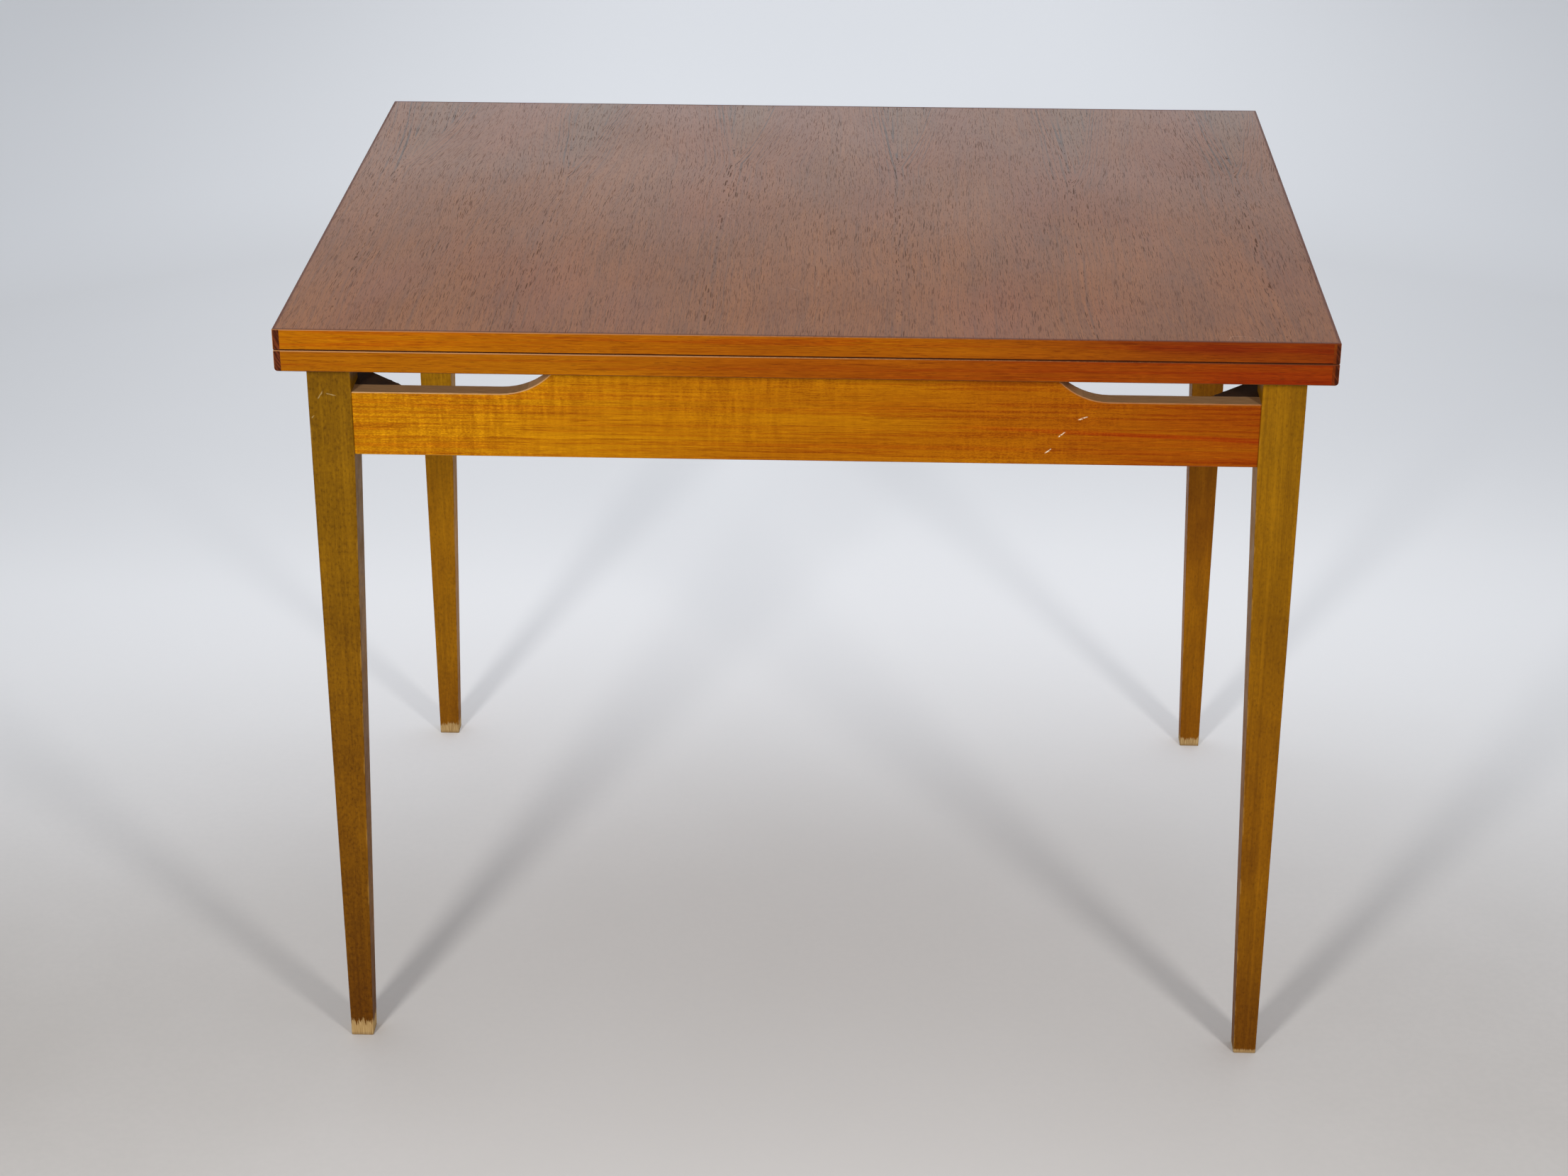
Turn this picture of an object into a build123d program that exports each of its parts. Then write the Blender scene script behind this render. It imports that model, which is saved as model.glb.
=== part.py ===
"""Extending table: two stacked leaves that swivel a quarter turn on a four-legged frame and then fold open.

Millimetres, +Z up, X along the long side, the front at -Y. The origin is on the floor, under the middle of
the closed top. Each function makes one kind of piece where it sits in the assembled table, at rest.
"""

import os
from math import acos, degrees, sqrt

from build123d import *

# Overall size of the closed table.
WIDTH = 910.0
DEPTH = 700.0
HEIGHT = 730.0

# Leaves: a core and solid-wood lippings between two sheets of veneer.
LEAF_THICKNESS = 19.0
LEAF_GAP = 0.3
VENEER = 0.6
LIPPING = 6.0
HINGE_EDGE_RELIEF = 0.15
LOWER_SIDE_ROUND = 3.0
UPPER_SIDE_ROUND = 1.2
ARRIS = 0.5

# Frame: legs, aprons and the blocks behind the legs.
FRAME_GAP = 1.5
LEG_SIZE = 38.0
LEG_FOOT = 21.0
LEG_ROUND = 1.2
LEG_INSET_X = 22.0
LEG_INSET_Y = 27.0
APRON_THICKNESS = 19.0
APRON_SETBACK = 2.0
APRON_HEIGHT = 88.3
APRON_ARRIS = 0.8
CUTOUT_DROP = 29.5
CUTOUT_FLAT = 130.0
CUTOUT_RADIUS = 62.0
TENON_LENGTH = 22.0
TENON_THICKNESS = 8.0
TENON_SHOULDER = 5.0
BLOCK_LEG_COVER = 16.8
BLOCK_HEIGHT = 52.0
SCREW_SHANK = 4.0
SCREW_LENGTH = 20.0
SCREW_HEAD = 7.5
SCREW_HEAD_HEIGHT = 3.0
SCREW_INSETS = (5.0, 12.5)
SCREW_TOP_GAP = 4.5

# Rails under the top, and the swivel.
PIVOT_X = 175.0
PIVOT_Y = 175.0
RAIL_WIDTH = 70.0
RAIL_THICKNESS = 22.0
RAIL_DROP = 4.7
RAIL_TENON = 8.0
RAIL_TENON_WIDTH = 54.0
RAIL_TENON_HEIGHT = 12.0
PLATE_RADIUS = 42.0
PLATE_THICKNESS = 3.0
PLATE_SCREW_RADIUS = 21.0
PLATE_SCREW_GRIP = 10.0
STOP_RADIUS = 32.0
STOP_PIN = 6.0
STOP_CLEARANCE = 0.3
STOP_PIN_SHORT = 0.5
STOP_PIN_DEPTH = 14.0
BOLT = 12.0
BOLT_HEAD = 26.0
BOLT_HEAD_HEIGHT = 4.0
BOLT_CLEARANCE = 0.05
BOLT_END = 648.0
BUSH_OUTER = 18.0
SLIP_WASHER = 1.1
WASHER_OUTER = 30.0
WASHER_THICKNESS = 2.0
NUT_FLATS = 19.0
NUT_HEIGHT = 10.0
PAD_PLACE = 120.0
PAD_LENGTH = 120.0
PAD_WIDTH = 11.0
PAD_THICKNESS = 1.2

# Fold hinges: a barrel in each leaf's back edge, and two half rings that slide in both, about the corner
# where the leaves meet.
HINGE_PLACES = (-330.0, 0.0, 330.0)
BARREL = 13.0
BARREL_DROP = 7.4
BARREL_LENGTH = 20.0
RING_INNER = 3.0
RING_OUTER = 6.5
RING_THICKNESS = 2.2
RING_SPACE = 0.3
RING_CLEARANCE = 0.15
RING_SPAN = 146.0
POCKET_SPAN = 75.0
POCKET_MOUTH = 5.0
FOLD_TRAVEL = 180.0

# Heights and places worked out from the sizes above.
half_width = WIDTH / 2
half_depth = DEPTH / 2
hinge_y = half_depth
upper_bottom = HEIGHT - LEAF_THICKNESS
lower_top = upper_bottom - LEAF_GAP
hinge_z = (upper_bottom + lower_top) / 2
lower_bottom = lower_top - LEAF_THICKNESS
frame_top = lower_bottom - FRAME_GAP
apron_bottom = lower_bottom - APRON_HEIGHT
cutout_z = lower_bottom - CUTOUT_DROP
leg_out_x = half_width - LEG_INSET_X
leg_out_y = half_depth - LEG_INSET_Y
leg_in_x = leg_out_x - LEG_SIZE
leg_in_y = leg_out_y - LEG_SIZE
apron_in_x = leg_out_x - APRON_SETBACK - APRON_THICKNESS
apron_in_y = leg_out_y - APRON_SETBACK - APRON_THICKNESS
rail_top = lower_bottom - RAIL_DROP
rail_bottom = rail_top - RAIL_THICKNESS

# A tool that is subtracted runs this far past the face it opens.
PAST = 1.0

CORNERS = {
    "front_left": (-1, -1),
    "front_right": (1, -1),
    "back_left": (-1, 1),
    "back_right": (1, 1),
}


def block(x_range, y_range, z_range):
    """A box between two places along each axis."""
    size = [high - low for low, high in (x_range, y_range, z_range)]
    centre = [(high + low) / 2 for low, high in (x_range, y_range, z_range)]
    return Pos(*centre) * Box(*size)


def rod(diameter, x, y, z_range):
    """An upright cylinder."""
    low, high = z_range
    return Pos(x, y, (low + high) / 2) * Cylinder(diameter / 2, high - low)


# ---------------------------------------------------------------- legs and aprons


def leg_section(side_x, side_y, size, z):
    """A leg's square section at one height. Its two outer faces stay in line all the way down."""
    x = side_x * (leg_out_x - size / 2)
    y = side_y * (leg_out_y - size / 2)
    return Pos(x, y, z) * RectangleRounded(size, size, LEG_ROUND)


def leg(side_x, side_y):
    """A post that is square beside the aprons, and tapers on its two inner faces below them."""
    foot = leg_section(side_x, side_y, LEG_FOOT, 0)
    knee = leg_section(side_x, side_y, LEG_SIZE, apron_bottom)
    post = loft([foot, knee], ruled=True)
    post += extrude(knee, amount=frame_top - apron_bottom)
    for tenon in (front_tenon(side_x, side_y), side_tenon(side_x, side_y)):
        post -= tenon
    return post


def tenon_heights():
    """The lower and upper faces of every tenon at a leg."""
    return apron_bottom + TENON_SHOULDER, cutout_z - TENON_SHOULDER


def front_tenon(side_x, side_y):
    """The tongue at one end of the front or back apron."""
    middle = side_y * (apron_in_y + APRON_THICKNESS / 2)
    along = sorted((side_x * leg_in_x, side_x * (leg_in_x + TENON_LENGTH)))
    across = (middle - TENON_THICKNESS / 2, middle + TENON_THICKNESS / 2)
    return block(along, across, tenon_heights())


def side_tenon(side_x, side_y):
    """The tongue at one end of a side apron."""
    middle = side_x * (apron_in_x + APRON_THICKNESS / 2)
    along = sorted((side_y * leg_in_y, side_y * (leg_in_y + TENON_LENGTH)))
    across = (middle - TENON_THICKNESS / 2, middle + TENON_THICKNESS / 2)
    return block(across, along, tenon_heights())


def apron_outline(half_length):
    """An apron's outline between the legs: low at both ends, sweeping up in an arc to the full height."""
    rise = frame_top - cutout_z
    sweep = degrees(acos(1 - rise / CUTOUT_RADIUS))
    flat_end = half_length - CUTOUT_FLAT
    lines = [Line((-half_length, apron_bottom), (half_length, apron_bottom))]
    shoulders = []
    for side in (-1, 1):
        end = side * half_length
        arc = CenterArc((side * flat_end, cutout_z + CUTOUT_RADIUS), CUTOUT_RADIUS, -90, -side * sweep)
        lines.append(Line((end, apron_bottom), (end, cutout_z)))
        lines.append(Line((end, cutout_z), arc @ 0))
        lines.append(arc)
        shoulders.append(arc @ 1)
    lines.append(Line(*shoulders))
    return make_face(lines)


def apron_board(half_length, plane):
    """The board between the legs, centred on the plane, with its long edges eased."""
    board = extrude(plane * apron_outline(half_length), amount=APRON_THICKNESS / 2, both=True)
    eased = [edge for edge in board.edges() if not crosses_board(edge, plane, half_length)]
    return chamfer(eased, APRON_ARRIS)


def crosses_board(edge, plane, half_length):
    """True for an edge on an end of the board, and for one that runs through its thickness."""
    on_end = abs(abs((edge @ 0.5).dot(plane.x_dir)) - half_length) < 0.01
    through = abs((edge % 0.5).dot(plane.z_dir)) > 0.9
    return on_end or through


def long_apron(side_y):
    """The front or back apron, with its tenons, its screw holes and a mortise for each rail."""
    middle = side_y * (apron_in_y + APRON_THICKNESS / 2)
    plane = Plane(origin=(0, middle, 0), x_dir=(1, 0, 0), z_dir=(0, -1, 0))
    board = apron_board(leg_in_x, plane)
    for side_x in (-1, 1):
        board += front_tenon(side_x, side_y)
        board -= Compound(children=block_screws(side_x, side_y))
        board -= rail_tenon(side_x * PIVOT_X, side_y)
    return board


def side_apron(side_x):
    """The left or right apron, with its tenons and its screw holes."""
    middle = side_x * (apron_in_x + APRON_THICKNESS / 2)
    plane = Plane(origin=(middle, 0, 0), x_dir=(0, 1, 0), z_dir=(1, 0, 0))
    board = apron_board(leg_in_y, plane)
    for side_y in (-1, 1):
        board += side_tenon(side_x, side_y)
        board -= Compound(children=block_screws(side_x, side_y))
    return board


# ---------------------------------------------------------------- corner blocks


def block_reach():
    """How far a corner block runs along each apron, from the corner where their inner faces would meet."""
    to_leg_x = apron_in_x - leg_in_x
    to_leg_y = apron_in_y - leg_in_y
    return to_leg_x + to_leg_y + BLOCK_LEG_COVER * sqrt(2)


def corner_block(side_x, side_y):
    """A triangular block glued between two aprons and notched round the leg's inner corner."""
    corner = (side_x * apron_in_x, side_y * apron_in_y)
    reach = block_reach()
    triangle = Polyline(
        corner,
        (corner[0] - side_x * reach, corner[1]),
        (corner[0], corner[1] - side_y * reach),
        close=True,
    )
    low = cutout_z - BLOCK_HEIGHT
    solid = extrude(Pos(0, 0, low) * make_face(triangle), amount=BLOCK_HEIGHT, dir=(0, 0, 1))
    notch_x = sorted((side_x * leg_in_x, side_x * leg_out_x))
    notch_y = sorted((side_y * leg_in_y, side_y * leg_out_y))
    solid -= block(notch_x, notch_y, (low - PAST, cutout_z + PAST))
    return solid - Compound(children=block_screws(side_x, side_y))


def block_screws(side_x, side_y):
    """Two screws side by side into each of the two aprons, their heads proud of the block's sloping face."""
    z = cutout_z - SCREW_TOP_GAP
    screws = []
    for inset in SCREW_INSETS:
        near_x = side_x * (apron_in_x - inset)
        near_y = side_y * (apron_in_y - inset)
        far_x = side_x * (apron_in_x - block_reach() + inset)
        far_y = side_y * (apron_in_y - block_reach() + inset)
        screws.append(wood_screw(Plane(origin=(far_x, near_y, z), z_dir=(0, side_y, 0))))
        screws.append(wood_screw(Plane(origin=(near_x, far_y, z), z_dir=(side_x, 0, 0))))
    return screws


def wood_screw(plane):
    """A round-headed screw that points along the plane's normal, its head's underside at the plane."""
    head = Pos(0, 0, -SCREW_HEAD_HEIGHT / 2) * Cylinder(SCREW_HEAD / 2, SCREW_HEAD_HEIGHT)
    top_edge = head.edges().filter_by(GeomType.CIRCLE).sort_by(Axis.Z)[0]
    head = fillet(top_edge, SCREW_HEAD_HEIGHT * 0.6)
    shank = Pos(0, 0, SCREW_LENGTH / 2) * Cylinder(SCREW_SHANK / 2, SCREW_LENGTH)
    return plane * (head + shank)


# ---------------------------------------------------------------- rails and pads


def rail_tenon(rail_x, side_y):
    """A rail's short tongue in the back of the front or back apron."""
    along = sorted((side_y * apron_in_y, side_y * (apron_in_y + RAIL_TENON)))
    across = (rail_x - RAIL_TENON_WIDTH / 2, rail_x + RAIL_TENON_WIDTH / 2)
    middle = (rail_top + rail_bottom) / 2
    return block(across, along, (middle - RAIL_TENON_HEIGHT / 2, middle + RAIL_TENON_HEIGHT / 2))


def rail(rail_x):
    """A flat rail from front to back, under the top."""
    board = block(
        (rail_x - RAIL_WIDTH / 2, rail_x + RAIL_WIDTH / 2),
        (-apron_in_y, apron_in_y),
        (rail_bottom, rail_top),
    )
    for side_y in (-1, 1):
        board += rail_tenon(rail_x, side_y)
    return board


def pivot_rail():
    """The rail that carries the swivel, bored for its bush and its stop pin."""
    board = rail(PIVOT_X)
    board -= rod(BUSH_OUTER, PIVOT_X, PIVOT_Y, (rail_bottom - PAST, rail_top + PAST))
    return board - stop_pin()


def felt_glides():
    """Strips of felt on the frame's top edge, which the leaves rest on."""
    low, high = frame_top, frame_top + PAD_THICKNESS
    middle_x = apron_in_x + APRON_THICKNESS / 2
    middle_y = apron_in_y + APRON_THICKNESS / 2
    strips = []
    for side in (-1, 1):
        for x in (-PAD_PLACE, PAD_PLACE):
            strips.append(Pos(x, side * middle_y, (low + high) / 2) * Box(PAD_LENGTH, PAD_WIDTH, high - low))
        strips.append(Pos(side * middle_x, 0, (low + high) / 2) * Box(PAD_WIDTH, PAD_LENGTH, high - low))
    return strips


# ---------------------------------------------------------------- swivel


def stop_pin():
    """A steel pin in the rail. It stands in the plate's curved slot and ends the swivel."""
    heights = (rail_top - STOP_PIN_DEPTH, lower_bottom - STOP_PIN_SHORT)
    return rod(STOP_PIN, PIVOT_X, PIVOT_Y - STOP_RADIUS, heights)


def curved_slot():
    """The slot in the plate, a quarter turn long, with the pin at one end when the top is at rest."""
    half = STOP_PIN / 2 + STOP_CLEARANCE
    low = lower_bottom - PLATE_THICKNESS - PAST
    height = PLATE_THICKNESS + 2 * PAST
    ring = Cylinder(STOP_RADIUS + half, height) - Cylinder(STOP_RADIUS - half, height)
    quarter = Pos(-PLATE_RADIUS, -PLATE_RADIUS, 0) * Box(2 * PLATE_RADIUS, 2 * PLATE_RADIUS, height)
    slot = ring & quarter
    slot += Pos(0, -STOP_RADIUS, 0) * Cylinder(half, height)
    slot += Pos(-STOP_RADIUS, 0, 0) * Cylinder(half, height)
    return Pos(PIVOT_X, PIVOT_Y, low + height / 2) * slot


def plate_screws():
    """Countersunk screws from the plate up into the lower leaf."""
    low = lower_bottom - PLATE_THICKNESS
    screws = []
    for place in PolarLocations(PLATE_SCREW_RADIUS, 4, start_angle=45):
        head = Pos(0, 0, PLATE_THICKNESS / 2) * Cone(SCREW_HEAD / 2, SCREW_SHANK / 2, PLATE_THICKNESS)
        middle = PLATE_THICKNESS + PLATE_SCREW_GRIP / 2
        shank = Pos(0, 0, middle) * Cylinder(SCREW_SHANK / 2, PLATE_SCREW_GRIP)
        screws.append(Pos(PIVOT_X, PIVOT_Y, low) * place * (head + shank))
    return screws


def pivot_plate():
    """A round steel plate under the lower leaf."""
    plate = rod(2 * PLATE_RADIUS, PIVOT_X, PIVOT_Y, (lower_bottom - PLATE_THICKNESS, lower_bottom))
    plate -= curved_slot()
    plate -= rod(BOLT, PIVOT_X, PIVOT_Y, (lower_bottom - PLATE_THICKNESS - PAST, lower_bottom + PAST))
    return plate - Compound(children=plate_screws())


def pivot_bolt():
    """The bolt that the top turns on. Its flat head is let into the lower leaf, above the plate."""
    head = rod(BOLT_HEAD, PIVOT_X, PIVOT_Y, (lower_bottom, lower_bottom + BOLT_HEAD_HEIGHT))
    shank = rod(BOLT, PIVOT_X, PIVOT_Y, (BOLT_END, lower_bottom))
    tip = shank.edges().filter_by(GeomType.CIRCLE).sort_by(Axis.Z)[0]
    return head + chamfer(tip, BOLT / 10)


def pivot_bush():
    """A plain bush pressed into the rail, with a running fit on the bolt."""
    return pivot_ring(BUSH_OUTER, (rail_bottom, rail_top), BOLT + 2 * BOLT_CLEARANCE)


def pivot_ring(outer, z_range, bore):
    """A ring about the pivot."""
    low, high = z_range
    hole = rod(bore, PIVOT_X, PIVOT_Y, (low - PAST, high + PAST))
    return rod(outer, PIVOT_X, PIVOT_Y, z_range) - hole


def slip_washer():
    """A fibre washer that lies on the rail, under the plate."""
    return pivot_ring(WASHER_OUTER, (rail_top, rail_top + SLIP_WASHER), BOLT + 2 * STOP_CLEARANCE)


def washer_heights():
    high = rail_bottom - LEAF_GAP
    return high - WASHER_THICKNESS, high


def pivot_washer():
    """The steel washer on the bolt, under the rail."""
    return pivot_ring(WASHER_OUTER, washer_heights(), BOLT)


def pivot_nut():
    """The hexagon nut that holds the top down."""
    high = washer_heights()[0]
    hexagon = RegularPolygon(NUT_FLATS / 2, 6, major_radius=False)
    body = extrude(Pos(PIVOT_X, PIVOT_Y, high - NUT_HEIGHT) * hexagon, amount=NUT_HEIGHT)
    return body - rod(BOLT, PIVOT_X, PIVOT_Y, (high - NUT_HEIGHT - PAST, high + PAST))


# ---------------------------------------------------------------- fold hinges


def fold_ring(inner, outer, first, last, x, thickness):
    """Part of a ring about the fold line, from one angle to another, 0 at the back and 90 upwards."""
    outside = CenterArc((0, 0), outer, first, last - first)
    inside = CenterArc((0, 0), inner, first, last - first)
    ends = [Line(outside @ place, inside @ place) for place in (0, 1)]
    section = make_face([outside, inside, *ends])
    across_fold = Plane(origin=(x, hinge_y, hinge_z), x_dir=(0, 1, 0), z_dir=(1, 0, 0))
    return extrude(across_fold * section, amount=thickness / 2, both=True)


def ring_pocket(x, side_z):
    """Room for both rings in one leaf, open at its back edge. The leaf is above or below the fold line."""
    width = 2 * RING_THICKNESS + RING_SPACE + 2 * RING_CLEARANCE
    inner = RING_INNER - RING_CLEARANCE
    outer = RING_OUTER + RING_CLEARANCE
    angles = (90 - POCKET_MOUTH, 90 + POCKET_SPAN)
    if side_z < 0:
        angles = (270 - POCKET_SPAN, 270 + POCKET_MOUTH)
    return fold_ring(inner, outer, *angles, x, width)


def barrel_hole(x, side_z):
    """The round hole in a leaf's back edge, which the barrel fills."""
    front = hinge_y - HINGE_EDGE_RELIEF - BARREL_LENGTH
    middle = (x, front + BARREL_LENGTH / 2, hinge_z + side_z * BARREL_DROP)
    return Pos(*middle) * Rot(90, 0, 0) * Cylinder(BARREL / 2, BARREL_LENGTH)


def barrels(side_z):
    """One leaf's brass barrels, slotted for the rings."""
    return [barrel_hole(x, side_z) - ring_pocket(x, side_z) for x in HINGE_PLACES]


def ring_links(stage):
    """One half ring for each hinge. Stage 1 turns a third of the fold, and stage 2 two thirds of it."""
    side = 1 if stage == 1 else -1
    offset = side * (RING_THICKNESS + RING_SPACE) / 2
    turned_back = stage * FOLD_TRAVEL / 3
    first = 270 - RING_SPAN / 2 + turned_back
    return [
        fold_ring(RING_INNER, RING_OUTER, first, first + RING_SPAN, x + offset, RING_THICKNESS)
        for x in HINGE_PLACES
    ]


# ---------------------------------------------------------------- leaves


def leaf_envelope(low, side_round):
    """A leaf's outer shape: its lower side edges are rounded, and every other long edge is eased.

    The edges at the fold stay sharp, so that the open leaves meet in a tight joint.
    """
    back = half_depth - HINGE_EDGE_RELIEF
    solid = block((-half_width, half_width), (-half_depth, back), (low, low + LEAF_THICKNESS))
    side_edges = solid.edges().filter_by(Axis.Y).group_by(Axis.Z)[0]
    solid = fillet(side_edges, side_round)
    side_edges = solid.edges().filter_by(Axis.Y).group_by(Axis.Z)[-1]
    front_edges = solid.edges().filter_by(Axis.X).group_by(Axis.Y)[0]
    return chamfer(side_edges + front_edges, ARRIS)


def leaf_pieces(name, low, side_z, envelope):
    """A leaf's core, veneers and lippings, cut to the envelope and bored for its hinge barrels."""
    high = low + LEAF_THICKNESS
    inside = (low + VENEER, high - VENEER)
    back = half_depth - HINGE_EDGE_RELIEF
    core_x = half_width - LIPPING
    core_y = (-half_depth + LIPPING, back - LIPPING)
    boxes = {
        "core": block((-core_x, core_x), core_y, inside),
        "top_veneer": block((-half_width, half_width), (-half_depth, back), (inside[1], high)),
        "bottom_veneer": block((-half_width, half_width), (-half_depth, back), (low, inside[0])),
        "lipping_left": block((-half_width, -core_x), (-half_depth, back), inside),
        "lipping_right": block((core_x, half_width), (-half_depth, back), inside),
        "lipping_front": block((-core_x, core_x), (-half_depth, core_y[0]), inside),
        "lipping_back": block((-core_x, core_x), (core_y[1], back), inside),
    }
    pieces = {}
    for piece, box in boxes.items():
        solid = box & envelope
        if piece in ("core", "lipping_back"):
            for x in HINGE_PLACES:
                solid -= barrel_hole(x, side_z)
                solid -= ring_pocket(x, side_z)
        pieces[f"{name}_{piece}"] = solid
    return pieces


def lower_leaf():
    envelope = leaf_envelope(lower_bottom, LOWER_SIDE_ROUND)
    pieces = leaf_pieces("lower", lower_bottom, -1, envelope)
    head_room = rod(BOLT_HEAD, PIVOT_X, PIVOT_Y, (lower_bottom - PAST, lower_bottom + BOLT_HEAD_HEIGHT))
    for name in ("lower_core", "lower_bottom_veneer"):
        pieces[name] -= head_room
        pieces[name] -= Compound(children=plate_screws())
    return pieces


def upper_leaf():
    envelope = leaf_envelope(upper_bottom, UPPER_SIDE_ROUND)
    return leaf_pieces("upper", upper_bottom, 1, envelope)


# ---------------------------------------------------------------- the table


def all_nodes():
    nodes = {}
    for corner, (side_x, side_y) in CORNERS.items():
        nodes[f"leg_{corner}"] = leg(side_x, side_y)
        nodes[f"corner_block_{corner}"] = corner_block(side_x, side_y)
    nodes["apron_front"] = long_apron(-1)
    nodes["apron_back"] = long_apron(1)
    nodes["apron_left"] = side_apron(-1)
    nodes["apron_right"] = side_apron(1)
    nodes["corner_block_screws"] = [screw for sides in CORNERS.values() for screw in block_screws(*sides)]
    nodes["pivot_rail"] = pivot_rail()
    nodes["support_rail"] = rail(-PIVOT_X)
    nodes["felt_glides"] = felt_glides()
    nodes["stop_pin"] = stop_pin()
    nodes["pivot_bush"] = pivot_bush()
    nodes["slip_washer"] = slip_washer()
    nodes["pivot_plate"] = pivot_plate()
    nodes["pivot_plate_screws"] = plate_screws()
    nodes["pivot_bolt"] = pivot_bolt()
    nodes["pivot_washer"] = pivot_washer()
    nodes["pivot_nut"] = pivot_nut()
    nodes.update(lower_leaf())
    nodes["lower_hinge_barrels"] = barrels(-1)
    nodes.update(upper_leaf())
    nodes["upper_hinge_barrels"] = barrels(1)
    nodes["hinge_rings_lower"] = ring_links(1)
    nodes["hinge_rings_upper"] = ring_links(2)
    return nodes


os.makedirs("parts", exist_ok=True)
for node, shape in all_nodes().items():
    if isinstance(shape, list):
        shape = Compound(children=shape)
    export_step(shape, f"parts/{node}.step")
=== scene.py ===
"""Looks for the extending table: procedural woods, metals and felt on the CAD parts, a pale floor, soft
studio light, and the camera. Metres, +Z up, the frame's own coordinates.
"""

import bpy
from mathutils import Euler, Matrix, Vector


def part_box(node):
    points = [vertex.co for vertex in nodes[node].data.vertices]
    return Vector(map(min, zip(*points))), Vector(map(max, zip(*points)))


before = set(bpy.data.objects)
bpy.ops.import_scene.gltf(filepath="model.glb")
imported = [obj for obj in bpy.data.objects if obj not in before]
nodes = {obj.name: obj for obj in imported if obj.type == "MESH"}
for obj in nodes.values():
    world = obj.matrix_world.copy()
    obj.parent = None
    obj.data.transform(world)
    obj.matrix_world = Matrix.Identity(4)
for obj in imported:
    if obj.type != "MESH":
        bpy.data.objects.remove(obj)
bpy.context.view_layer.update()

LEG_LOW, LEG_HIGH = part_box("leg_front_right")
LEG_SIZE = LEG_HIGH.x - LEG_LOW.x
LEG_OUT_X = LEG_HIGH.x
LEG_OUT_Y = -LEG_LOW.y
LEG_FOOT = 0.021
APRON_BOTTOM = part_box("apron_front")[0].z
HALF_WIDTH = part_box("upper_top_veneer")[1].x
HALF_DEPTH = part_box("upper_top_veneer")[1].y

# The heights between which each front lipping has its own colour. The dark line below the upper one is
# painted shade in the gap between the leaves; the lower one has no dark line below it.
UPPER_RIM = (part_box("upper_lipping_front")[1].z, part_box("upper_lipping_front")[0].z)
LOWER_RIM = (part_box("lower_lipping_front")[1].z, 0.0)


# ---------------------------------------------------------------- node building


class Nodes:
    """Builds a node tree. Values may be sockets, numbers or tuples."""

    def __init__(self, tree):
        self.tree = tree
        self.tree.nodes.clear()

    def put(self, socket, value):
        """Links a socket to an input, or sets the input to a number or colour."""
        if isinstance(value, bpy.types.NodeSocket):
            self.tree.links.new(value, socket)
        elif isinstance(value, tuple) and len(value) == 3 and len(getattr(socket, "default_value", ())) == 4:
            socket.default_value = (*value, 1.0)
        else:
            socket.default_value = value

    def node(self, kind, inputs=None, **settings):
        made = self.tree.nodes.new(kind)
        for name, value in settings.items():
            setattr(made, name, value)
        for key, value in (inputs or {}).items():
            self.put(made.inputs[key], value)
        return made

    def math(self, operation, a, b=0.0):
        return self.node("ShaderNodeMath", {0: a, 1: b}, operation=operation).outputs[0]

    def add(self, a, b):
        return self.math("ADD", a, b)

    def sub(self, a, b):
        return self.math("SUBTRACT", a, b)

    def mul(self, a, b):
        return self.math("MULTIPLY", a, b)

    def step(self, value, low, high, to_low=0.0, to_high=1.0):
        """A smooth step from to_low at low to to_high at high."""
        limits = {"From Min": low, "From Max": high, "To Min": to_low, "To Max": to_high}
        made = self.node("ShaderNodeMapRange", {"Value": value, **limits}, interpolation_type="SMOOTHSTEP")
        return made.outputs["Result"]

    def mix(self, share, a, b, blend="MIX"):
        """Mixes two colours."""
        made = self.node("ShaderNodeMix", data_type="RGBA", blend_type=blend)
        made.clamp_factor = True
        self.put(made.inputs["Factor"], share)
        self.put(made.inputs[6], a)
        self.put(made.inputs[7], b)
        return made.outputs[2]

    def tinted(self, colour, tint):
        return self.mix(1.0, colour, tint, "MULTIPLY")

    def place(self):
        """The point's place in the row frame, which moves with its body."""
        return self.node("ShaderNodeTexCoord").outputs["Object"]

    def split(self, vector):
        return tuple(self.node("ShaderNodeSeparateXYZ", {0: vector}).outputs)

    def join(self, x, y, z):
        return self.node("ShaderNodeCombineXYZ", {0: x, 1: y, 2: z}).outputs[0]

    def normal(self):
        """The face's own normal, along the object's axes."""
        world_normal = self.node("ShaderNodeNewGeometry").outputs["True Normal"]
        turned = self.node("ShaderNodeVectorTransform", {0: world_normal}, vector_type="NORMAL")
        turned.convert_from = "WORLD"
        turned.convert_to = "OBJECT"
        return self.split(turned.outputs[0])

    def noise(self, vector, scale=1.0, detail=3.0, roughness=0.5, distortion=0.0):
        made = self.node("ShaderNodeTexNoise", {"Vector": vector, "Scale": scale, "Detail": detail})
        self.put(made.inputs["Roughness"], roughness)
        self.put(made.inputs["Distortion"], distortion)
        return made.outputs["Fac"]

    def cells(self, vector, dimensions="3D"):
        """Voronoi cells: the distance to the nearest point, and a random number for the cell."""
        made = self.node("ShaderNodeTexVoronoi", {"Vector": vector, "Scale": 1.0})
        made.voronoi_dimensions = dimensions
        shade = self.node("ShaderNodeSeparateColor", {0: made.outputs["Color"]})
        return made.outputs["Distance"], shade.outputs[0]

    def ramp(self, value, stops):
        """A smooth curve through (position, level) stops."""
        made = self.node("ShaderNodeValToRGB", {0: value})
        made.color_ramp.interpolation = "EASE"
        elements = made.color_ramp.elements
        while len(elements) < len(stops):
            elements.new(0.5)
        for element, (position, level) in zip(elements, stops):
            element.position = position
            element.color = (level, level, level, 1.0)
        return made.outputs[0]


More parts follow.
